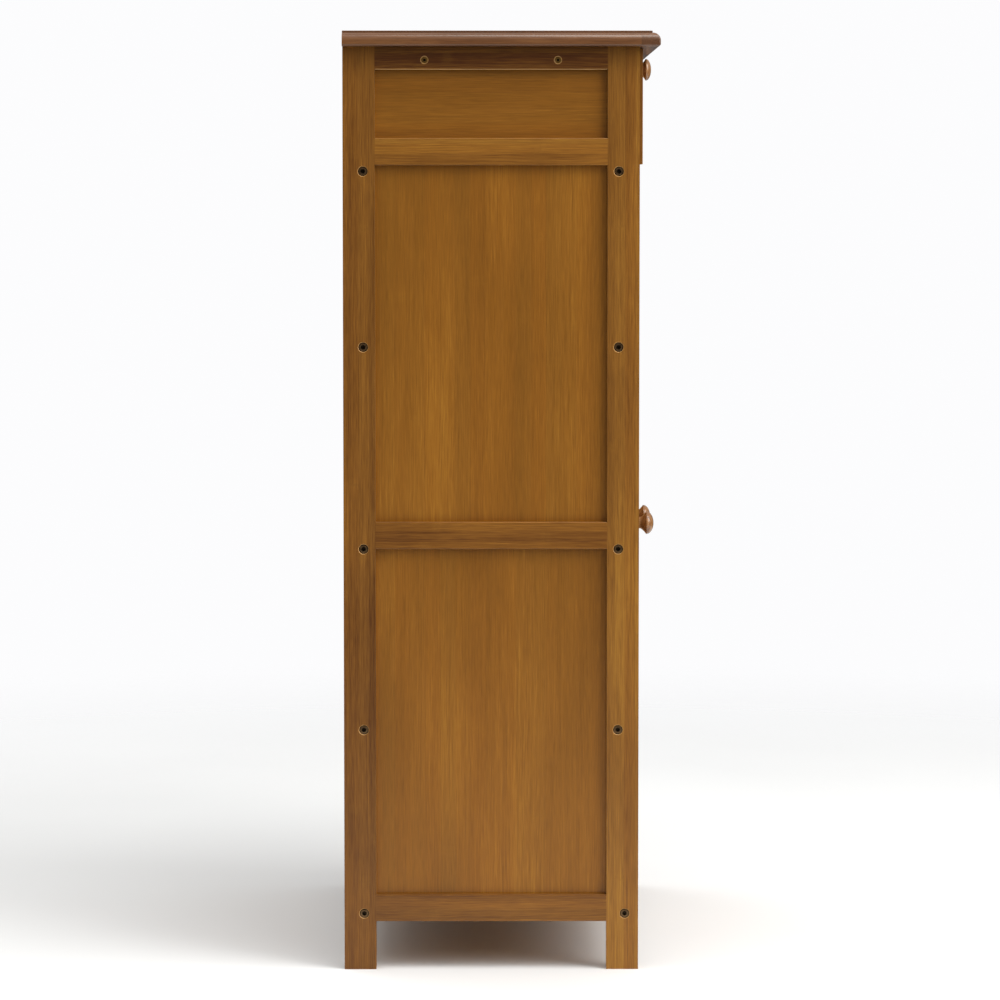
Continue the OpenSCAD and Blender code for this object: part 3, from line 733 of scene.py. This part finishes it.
def side_frame(side, sign):
    stiles = {end: box(f"{side}_{end}_stile") for end in ("front", "back")}
    rails = {n: box(f"{side}_{n}_rail") for n in ("top", "upper", "middle", "bottom")}
    panels = {n: box(f"{side}_{n}_panel") for n in ("top", "middle", "lower")}
    inner_y = (stiles["front"].hi.y, stiles["back"].lo.y)
    face_x = stiles["front"].lo.x if sign < 0 else stiles["front"].hi.x
    inwards = Vector((-sign, 0, 0))
    one_panel = panels["middle"]

    bolts = [b for b in islands("shelf_bolts") if b.centre.x * sign > 0]
    screws = [b for b in islands("cleat_screws") if b.centre.x * sign > 0 and b.size.x > b.size.z]
    back_panel = islands("back_panels")[0]

    for end, stile in stiles.items():
        groove = Box(
            (one_panel.lo.x, rails["top"].lo.y, rails["bottom"].lo.z),
            (one_panel.hi.x, rails["top"].hi.y, stile.hi.z + PAST),
        )
        cuts = [block(groove)]
        if end == "back":
            back_groove = back_panel.with_span(Z, rails["bottom"].lo.z, stile.hi.z + PAST)
            cuts.append(block(back_groove.grown((PAST, 0, 0))))
        bores = [
            (Vector((face_x, b.centre.y, b.centre.z)), inwards)
            for b in bolts if stile.lo.y < b.centre.y < stile.hi.y
        ]
        sharp = [*rails.values(), groove]
        inner = stile.hi.y if end == "front" else stile.lo.y
        # only the arrises at the opening are painted pale, as wear and as a painted highlight
        opening = Box(
            (stile.lo.x, inner - 3 * MM, rails["bottom"].hi.z), (stile.hi.x, inner + 3 * MM, stile.hi.z)
        ).grown(0.5 * MM)
        board(
            f"{side}_{end}_stile_wood", "cabinet", stile, Z, FRAME, LEG_ARRIS, sharp, cuts,
            stands_for=[f"{side}_{end}_stile"], tone=STILE_TONE[end], bores=bores, wear_and_highlight=opening,
        )

    for name, rail in rails.items():
        cuts = [groove_in_rail(rail, p, X, Y) for p in touching(rail, panels.values())]
        sinks = [(Vector((face_x, b.centre.y, b.centre.z)), inwards) for b in screws] if name == "top" else ()
        sharp = [*stiles.values(), *(p.grown((0, 0, 1 * MM)) for p in panels.values())]
        board(
            f"{side}_{name}_rail_wood", "cabinet", rail, Y, FRAME, OPENING_ARRIS, sharp, cuts,
            solid=tenoned(rail, inner_y, Y, X, one_panel), stands_for=[f"{side}_{name}_rail"],
            tone=RAIL_TONE[name], sinks=sinks,
        )

    for name, panel in panels.items():
        axis = Y if name == "top" else Z
        board(
            f"{side}_{name}_panel_wood", "cabinet", panel, axis, PANEL, PANEL_ARRIS,
            stands_for=[f"{side}_{name}_panel"],
        )


# ---- Fasteners of the carcass ----


def carcass_fasteners():
    for number, b in enumerate(islands("shelf_bolts"), 1):
        sign = math.copysign(1, b.centre.x)
        face_x = max(b.lo.x * sign, b.hi.x * sign) * sign
        origin = Vector((face_x, b.centre.y, b.centre.z))
        socket_bolt(
            f"shelf_bolt_{number:02d}", "cabinet", origin, (-sign, 0, 0), b.size.x,
            stands_for=["shelf_bolts"] if number == 1 else (),
        )
    for number, b in enumerate(islands("cleat_screws"), 1):
        sign = math.copysign(1, b.centre.x)
        sideways = b.size.x > b.size.z
        if sideways:
            origin = Vector((max(b.lo.x * sign, b.hi.x * sign) * sign, b.centre.y, b.centre.z))
            along = Vector((-sign, 0, 0))
        else:
            origin = Vector((b.centre.x, b.centre.y, b.lo.z))
            along = Vector((0, 0, 1))
        countersunk_screw(
            f"cleat_screw_{number:02d}", "cabinet", origin + along * 0.15 * MM, along,
            max(b.size.x, b.size.z),
            stands_for=["cleat_screws"] if number == 1 else (),
        )


# ---- Top board ----

NOSE_R = 10.0 * MM
NOSE_STEP = 2.5 * MM
NOSE_UNDER_R = 3.2 * MM
TOP_CORNER_R = 2.0 * MM
LIPPING_W = 24 * MM


def quarter(centre, radius, start, steps=8):
    """Points on a quarter of a circle, from the angle start in degrees onwards."""
    return [
        (centre[0] + radius * math.cos(angle), centre[1] + radius * math.sin(angle))
        for angle in (math.radians(start + 90 * i / steps) for i in range(steps + 1))
    ]


def top_board():
    b = box("top_board")
    thick = b.size.z
    nose_z = thick - NOSE_STEP - NOSE_R
    soft = 0.7 * MM
    # the edge's section as (distance inside the outermost edge, height), from below to above
    section = [(-x, z) for x, z in quarter((-NOSE_UNDER_R, NOSE_UNDER_R), NOSE_UNDER_R, -90)]
    section += [(-x, z) for x, z in quarter((-NOSE_R, nose_z), NOSE_R, 0, 14)]
    section += [(-x, z) for x, z in quarter((-NOSE_R - soft, thick - soft), soft, 0, 4)]

    def ring(inset, z):
        r = max(TOP_CORNER_R - inset, 0.02 * MM)
        left, right = b.lo.x + inset, b.hi.x - inset
        front = b.lo.y + inset
        points = [(left + r - r * math.sin(a), front + r - r * math.cos(a)) for a in fan(90, 0)]
        points += [(right - r + r * math.sin(a), front + r - r * math.cos(a)) for a in fan(0, 90)]
        points += [(right, b.hi.y), (left, b.hi.y)]
        return [Vector((x, y, b.lo.z + z)) for x, y in points]

    def fan(start, end, steps=4):
        return [math.radians(start + (end - start) * i / steps) for i in range(steps + 1)]

    solid = stack([ring(inset, z) for inset, z in section])
    front_y, left_x, right_x = b.lo.y + LIPPING_W, b.lo.x + LIPPING_W, b.hi.x - LIPPING_W
    for point, axis in (((0, front_y, 0), Y), ((left_x, 0, 0), X), ((right_x, 0, 0), X)):
        slice_across(solid, point, axis)
    chance = random.Random("top_board")
    mark_grain(solid, b, X, [], chance)
    mark_grain(solid, b.with_span(X, b.lo.x, left_x - 1 * MM), Y, [], chance)
    mark_grain(solid, b.with_span(X, right_x + 1 * MM, b.hi.x), Y, [], chance)
    mark_grain(solid, b.with_span(Y, b.lo.y, front_y - 1 * MM), X, [], chance)
    made = piece("top_board_wood", solid, "cabinet", TOP[0], TOP[1], ["top_board"])
    made["tone"] = 0.0


# ---- Boards of the carcass ----


def carcass():
    for name in ("upper_shelf", "middle_shelf", "lower_shelf", "bottom_board", "drawer_divider"):
        board(f"{name}_wood", "cabinet", box(name), X, INSIDE, EDGE_ARRIS, stands_for=[name])
    rail = box("front_bottom_rail")
    board("front_bottom_rail_wood", "cabinet", rail, X, FRAME, stands_for=["front_bottom_rail"])
    board("centre_post_wood", "cabinet", box("centre_post"), Z, FRAME, EDGE_ARRIS, stands_for=["centre_post"])
    for node, finish, axis in (
        ("top_cleats", INSIDE, Y), ("drawer_runners", INSIDE, Y), ("back_panels", INSIDE, Z)
    ):
        for number, b in enumerate(islands(node), 1):
            cuts = []
            if node == "top_cleats":
                cuts = [
                    countersink((s.centre.x, s.centre.y, b.lo.z), (0, 0, 1))
                    for s in islands("cleat_screws") if s.size.z > s.size.x and s.centre.x * b.centre.x > 0
                ]
            board(
                f"{node}_{number}_wood", "cabinet", b, axis, finish, cuts=cuts,
                stands_for=[node] if number == 1 else (),
            )


def back_rails():
    """Rails with tongues in the back stiles' grooves, and with grooves of their own for the back panels."""
    stiles = [box(f"{side}_back_stile") for side in SIDES]
    between = (stiles[0].hi.x, stiles[1].lo.x)
    panels = islands("back_panels")
    sharp = [*stiles, *(p.grown((0, 0, 1 * MM)) for p in panels)]
    for number, rail in enumerate(islands("back_rails"), 1):
        cuts = [groove_in_rail(rail, p, Y, X) for p in touching(rail, panels)]
        board(
            f"back_rails_{number}_wood", "cabinet", rail, X, FRAME, sharp=sharp, cuts=cuts,
            solid=tenoned(rail, between, X, Y, panels[0]), stands_for=["back_rails"] if number == 1 else (),
        )


def pivot_bushes():
    for number, b in enumerate(islands("pivot_bushes"), 1):
        up = 1 if b.centre.z > 0.5 else -1
        face_z = b.lo.z if up > 0 else b.hi.z
        flange_r = b.size.x / 2
        flange_t, wall, pin_r = 1.5 * MM, 1.8 * MM, 3.05 * MM
        depth = b.size.z
        profile = [
            (depth - 0.6 * MM, 0.0),
            (depth - 0.6 * MM, pin_r),
            (0.6 * MM, pin_r),
            (0.2 * MM, pin_r + 0.35 * MM),
            (0.0, pin_r + 0.6 * MM),
            (0.0, flange_r - 0.3 * MM),
            (0.3 * MM, flange_r),
            (flange_t, flange_r),
            (flange_t, pin_r + wall),
            (depth, pin_r + wall),
            (depth, 0.0),
        ]
        solid = turned(profile, (b.centre.x, b.centre.y, face_z), (0, 0, up))
        piece(
            f"pivot_bush_{number}", solid, "cabinet", NYLON, "nylon", ["pivot_bushes"] if number == 1 else ()
        )


# the poles' upper edges as shares of a catch's height from its middle, and their own share of that height
POLE_TOPS = {"upper": 0.36, "lower": -0.06}
POLE_SHARE = 0.17


def magnetic_catches():
    for number, b in enumerate(islands("magnetic_catches"), 1):
        case = block(b.with_span(Y, b.lo.y + 1 * MM, b.hi.y))
        ease(case, 1.2 * MM, steps=4)
        piece(
            f"magnetic_catch_{number}_case", case, "cabinet", NYLON, "nylon",
            ["magnetic_catches"] if number == 1 else (),
        )
        for place, z in POLE_TOPS.items():
            plate = b.with_span(Z, b.centre.z + b.size.z * (z - POLE_SHARE), b.centre.z + b.size.z * z)
            plate = plate.with_span(Y, b.lo.y, b.hi.y - 2 * MM)
            pole = block(plate.with_span(X, b.lo.x + 3 * MM, b.hi.x - 3 * MM))
            ease(pole, 0.3 * MM)
            piece(f"magnetic_catch_{number}_{place}_pole", pole, "cabinet", STEEL, "zinc_steel")


# ---- Doors ----


# shares of a knob's reach
KNOB_DOME = 0.32
KNOB_FLARE = 0.27
# above 1, the flare behind the rim is hollow
KNOB_HOLLOW = 1.4


def knob_profile(radius, reach):
    """Half outline of a turned knob: foot, neck, hollow flare, crisp rim and domed face."""
    neck_r = 7.5 * MM
    foot_r = neck_r + 1.5 * MM
    foot_h = 1.5 * MM
    dome_h = reach * KNOB_DOME
    rim = reach - dome_h
    neck_end = rim - reach * KNOB_FLARE
    soft = 0.7 * MM
    steps = 14
    turns = [math.pi / 2 * i / steps for i in range(1, steps + 1)]
    points = [(0.0, 0.0), (0.0, foot_r - 0.3 * MM), (0.3 * MM, foot_r), (foot_h, foot_r)]
    hollow = foot_r - neck_r
    points += [(foot_h + 2.25 * MM * (1 - math.cos(t)), foot_r - hollow * math.sin(t)) for t in turns[1::2]]
    flare_l, flare_r = rim - soft - neck_end, radius - soft - neck_r
    flare = [i / steps for i in range(1, steps + 1)]
    points += [(neck_end + flare_l * u, neck_r + flare_r * u**KNOB_HOLLOW) for u in flare]
    points += [(rim - soft * math.cos(t), radius - soft * (1 - math.sin(t))) for t in turns[2::3]]
    points += [(rim + dome_h * math.sin(t), radius * math.cos(t)) for t in turns]
    return points


def knob(name, body, node):
    b = box(node)
    origin = (b.centre.x, b.hi.y, b.centre.z)
    solid = turned(knob_profile(b.size.x / 2, b.size.y), origin, (0, -1, 0))
    return piece(name, solid, body, KNOB_WOOD, "turned_wood", [node], weighted=False)


def knob_screw(name, body, node, back_y):
    """The screw that holds a knob, flush in the back of the wood that it stands on."""
    b = box(node)
    bite = 8 * MM
    origin = Vector((b.centre.x, back_y, b.centre.z))
    countersunk_screw(name, body, origin, (0, -1, 0), back_y - b.hi.y + bite)


def screw_seat(node, back_y):
    b = box(node)
    return countersink((b.centre.x, back_y, b.centre.z), (0, -1, 0))


def door(side, sign):
    body = f"{side}_door"
    hinge, inner = box(f"{body}_hinge_stile"), box(f"{body}_inner_stile")
    rails = {n: box(f"{body}_{n}_rail") for n in ("top", "middle", "bottom")}
    panels = islands(f"{body}_panels")
    strike = box(f"{body}_strike")
    groove_depth = 6 * MM
    # faces of the two stiles that look at the panels
    hinge_x = hinge.hi.x if sign < 0 else hinge.lo.x
    inner_x = inner.lo.x if sign < 0 else inner.hi.x
    thick = hinge.size.y
    edge_r = thick / 2

    def groove(stile_x, into):
        panel = panels[0]
        ends = sorted((stile_x - into * PAST, stile_x + into * groove_depth))
        return Box((ends[0], panel.lo.y, hinge.lo.z - PAST), (ends[1], panel.hi.y, hinge.hi.z + PAST))

    # hinge stile with its round edge, concentric with the pins
    edge_x = hinge.lo.x if sign < 0 else hinge.hi.x
    centre_x = edge_x - sign * edge_r
    arc_steps = 20
    arc = [math.radians(-90 + 180 * i / arc_steps) for i in range(arc_steps + 1)]
    outline = [(hinge_x, hinge.hi.y), (hinge_x, hinge.lo.y)]
    outline += [(centre_x + sign * edge_r * math.cos(a), hinge.centre.y + edge_r * math.sin(a)) for a in arc]
    hinge_groove = groove(hinge_x, sign)
    board(
        f"{body}_hinge_stile_wood", body, hinge, Z, FRAME, EDGE_ARRIS, [*rails.values(), hinge_groove],
        [block(hinge_groove)], prism(outline, Z, hinge.lo.z, hinge.hi.z), [f"{body}_hinge_stile"],
    )

    inner_groove = groove(inner_x, -sign)
    recess = strike.with_span(Y, strike.lo.y, strike.hi.y + PAST)
    board(
        f"{body}_inner_stile_wood", body, inner, Z, FRAME, EDGE_ARRIS,
        [*rails.values(), inner_groove, strike.grown(0.5 * MM)],
        [block(inner_groove), block(recess), screw_seat(f"{body}_knob", inner.hi.y)],
        stands_for=[f"{body}_inner_stile"],
    )

    for name, rail in rails.items():
        cuts = [groove_in_rail(rail, p, Y, X) for p in touching(rail, panels)]
        sharp = [hinge, inner, *(p.grown((0, 0, 1 * MM)) for p in panels)]
        board(
            f"{body}_{name}_rail_wood", body, rail, X, FRAME, OPENING_ARRIS, sharp, cuts,
            tenoned(rail, (hinge_x, inner_x), X, Y, panels[0]), [f"{body}_{name}_rail"],
        )
    for name, panel in zip(("lower", "upper"), panels):
        board(
            f"{body}_{name}_panel_wood", body, panel, Z, PANEL, PANEL_ARRIS,
            stands_for=[f"{body}_panels"] if name == "lower" else (),
        )

    knob(f"{body}_knob_wood", body, f"{body}_knob")
    knob_screw(f"{body}_knob_screw", body, f"{body}_knob", inner.hi.y)

    for name, pin in zip(("lower", "upper"), islands(f"{body}_pins")):
        tip = 0.6 * MM
        r = pin.size.x / 2
        profile = [(0.0, r - tip), (tip, r), (pin.size.z - tip, r), (pin.size.z, r - tip)]
        solid = turned(profile, (pin.centre.x, pin.centre.y, pin.lo.z), (0, 0, 1))
        piece(
            f"{body}_{name}_pin", solid, body, STEEL, "zinc_steel",
            [f"{body}_pins"] if name == "lower" else (),
        )

    plate = block(strike)
    ease(plate, 0.3 * MM)
    piece(f"{body}_strike_plate", plate, body, STEEL, "zinc_steel", [f"{body}_strike"])


# ---- Drawer ----


def drawer():
    stiles = dict(zip(("left", "right"), islands("drawer_front_stiles")))
    rails = dict(zip(("bottom", "top"), islands("drawer_front_rails")))
    panel = box("drawer_front_panel")
    between = (stiles["left"].hi.x, stiles["right"].lo.x)

    for name, stile in stiles.items():
        reach = rails["top"]
        groove = Box((reach.lo.x, panel.lo.y, stile.lo.z - PAST), (reach.hi.x, panel.hi.y, stile.hi.z + PAST))
        board(
            f"drawer_front_{name}_stile_wood", "drawer", stile, Z, FRAME, LEG_ARRIS,
            [*rails.values(), groove], [block(groove)],
            stands_for=["drawer_front_stiles"] if name == "left" else (),
        )
    for name, rail in rails.items():
        cuts = [groove_in_rail(rail, panel, Y, X)]
        if name == "top":
            cuts.append(screw_seat("drawer_knob", rail.hi.y))
        board(
            f"drawer_front_{name}_rail_wood", "drawer", rail, X, FRAME, OPENING_ARRIS,
            [*stiles.values(), panel.grown((0, 0, 1 * MM))], cuts, tenoned(rail, between, X, Y, panel),
            ["drawer_front_rails"] if name == "bottom" else (),
        )
    board(
        "drawer_front_panel_wood", "drawer", panel, X, PANEL, PANEL_ARRIS, stands_for=["drawer_front_panel"]
    )

    bottom = box("drawer_bottom")
    runners = islands("drawer_runners")
    clearance = 0.5 * MM
    # the runner's groove goes through both ends of the drawer side
    past_side = 60 * MM
    for side, sign in SIDES.items():
        b = box(f"{side}_drawer_side")
        runner = runners[0] if sign < 0 else runners[1]
        runner_end = runner.hi.x + clearance if sign < 0 else runner.lo.x - clearance
        outer = b.lo.x - PAST if sign < 0 else b.hi.x + PAST
        groove = runner.grown((0, past_side, clearance)).with_span(X, runner_end, outer)
        slot = bottom.grown((0.5 * MM, PAST, 0))
        board(
            f"{side}_drawer_side_wood", "drawer", b, Y, INSIDE, 1.0 * MM, cuts=[block(groove), block(slot)],
            stands_for=[f"{side}_drawer_side"],
        )
    board("drawer_back_wood", "drawer", box("drawer_back"), X, INSIDE, stands_for=["drawer_back"])
    board("drawer_bottom_wood", "drawer", bottom, X, INSIDE, 0.4 * MM, stands_for=["drawer_bottom"])
    knob("drawer_knob_wood", "drawer", "drawer_knob")
    knob_screw("drawer_knob_screw", "drawer", "drawer_knob", rails["top"].hi.y)


# ---- Studio ----


FLOOR_R = 8.0
FADE_START = 0.9
FADE_END = 2.9


def floor():
    """Pale floor that fades out far from the object, so that no horizon shows."""
    bpy.ops.mesh.primitive_circle_add(vertices=96, radius=FLOOR_R, fill_type="NGON")
    made = bpy.context.object
    made.name = "floor"
    s = Shader("studio floor")
    place = s.node("ShaderNodeTexCoord").outputs["Object"]
    mottle = s.noise(place, 1.3, 3.0)
    distance = s.node("ShaderNodeVectorMath", {0: place}, operation="LENGTH").outputs["Value"]
    s.set(
        Base_Color=s.mix(mottle, (0.81, 0.825, 0.835, 1), (0.85, 0.865, 0.875, 1)),
        Roughness=s.remap(mottle, 0.3, 0.7, 0.55, 0.65),
        Alpha=s.remap(distance, FADE_START, FADE_END, 1.0, 0.0, smooth=True),
    )
    made.data.materials.append(s.material)
    return made


def area_light(name, place, target, size, power, tint=(1, 1, 1)):
    data = bpy.data.lights.new(name, "AREA")
    data.shape = "RECTANGLE"
    data.size, data.size_y = size
    data.energy = power
    data.color = tint
    made = bpy.data.objects.new(name, data)
    bpy.context.scene.collection.objects.link(made)
    made.location = place
    made.rotation_euler = (Vector(target) - Vector(place)).to_track_quat("-Z", "Y").to_euler()
    return made


KEY_DISTANCE = 3.6
# strength of the world's light at the horizon and overhead
HORIZON_LIGHT = 0.12
OVERHEAD_LIGHT = 0.75


def studio():
    ground = floor()
    middle = Vector((0, 0, 0.6))
    # raking from the front and above, along the side frame that the camera sees
    from_front = Vector((-1.4, -2.5, 1.6)).normalized()
    area_light("key", middle + from_front * KEY_DISTANCE, middle, (2.8, 2.8), 122, (1.0, 0.985, 0.96))
    area_light("overhead", (-1.0, -0.5, 2.9), (-0.3, 0, 1.1), (1.0, 1.4), 24, (1.0, 0.97, 0.93))
    area_light("back", (2.4, 3.0, 2.6), middle, (3.0, 3.0), 34)
    # a soft light from above that whitens the floor alone
    soft = area_light("floor light", (-0.6, 0.6, 3.4), (0, 0.4, 0), (3.6, 3.6), 43)
    lit = bpy.data.collections.new("lit by the floor light")
    lit.objects.link(ground)
    soft.light_linking.receiver_collection = lit
    world = bpy.data.worlds.new("studio")
    bpy.context.scene.world = world
    world.use_nodes = True
    tree = world.node_tree
    seen = tree.nodes["Background"]
    seen.inputs["Color"].default_value = (0.975, 0.975, 0.985, 1)
    # what lights the cabinet is brighter overhead than at the horizon
    around = tree.nodes.new("ShaderNodeBackground")
    around.inputs["Color"].default_value = (1.0, 0.985, 0.96, 1)
    direction = tree.nodes.new("ShaderNodeSeparateXYZ")
    tree.links.new(tree.nodes.new("ShaderNodeTexCoord").outputs["Generated"], direction.inputs[0])
    height = tree.nodes.new("ShaderNodeMapRange")
    for socket, value in zip(height.inputs[1:5], (0.0, 0.9, HORIZON_LIGHT, OVERHEAD_LIGHT)):
        socket.default_value = value
    tree.links.new(direction.outputs["Z"], height.inputs[0])
    tree.links.new(height.outputs[0], around.inputs["Strength"])
    ray = tree.nodes.new("ShaderNodeLightPath")
    choice = tree.nodes.new("ShaderNodeMixShader")
    tree.links.new(ray.outputs["Is Camera Ray"], choice.inputs[0])
    tree.links.new(around.outputs[0], choice.inputs[1])
    tree.links.new(seen.outputs[0], choice.inputs[2])
    tree.links.new(choice.outputs[0], tree.nodes["World Output"].inputs["Surface"])
    bpy.context.scene.view_settings.view_transform = "Standard"


# The eye stands square to the left side frame, near its middle and a little under its top.
EYE_FROM_SIDE = 4.8
EYE_Y = 0.022
EYE_Z = 0.977
PITCH = math.radians(3.82)
YAW = math.radians(0.22)
LENS = 138.5
SHIFT_Y = -0.05


def camera():
    data = bpy.data.cameras.new("camera")
    data.lens = LENS
    data.sensor_width = 36
    data.shift_y = SHIFT_Y
    data.clip_end = 100
    made = bpy.data.objects.new("camera", data)
    bpy.context.scene.collection.objects.link(made)
    side_x = box("left_front_stile").lo.x
    made.location = (side_x - EYE_FROM_SIDE, EYE_Y, EYE_Z)
    made.rotation_euler = (math.radians(90) - PITCH, 0, math.radians(-90) - YAW)
    bpy.context.scene.camera = made


camera()
studio()
for side, sign in SIDES.items():
    side_frame(side, sign)
    door(side, sign)
top_board()
carcass()
back_rails()
carcass_fasteners()
pivot_bushes()
magnetic_catches()
drawer()
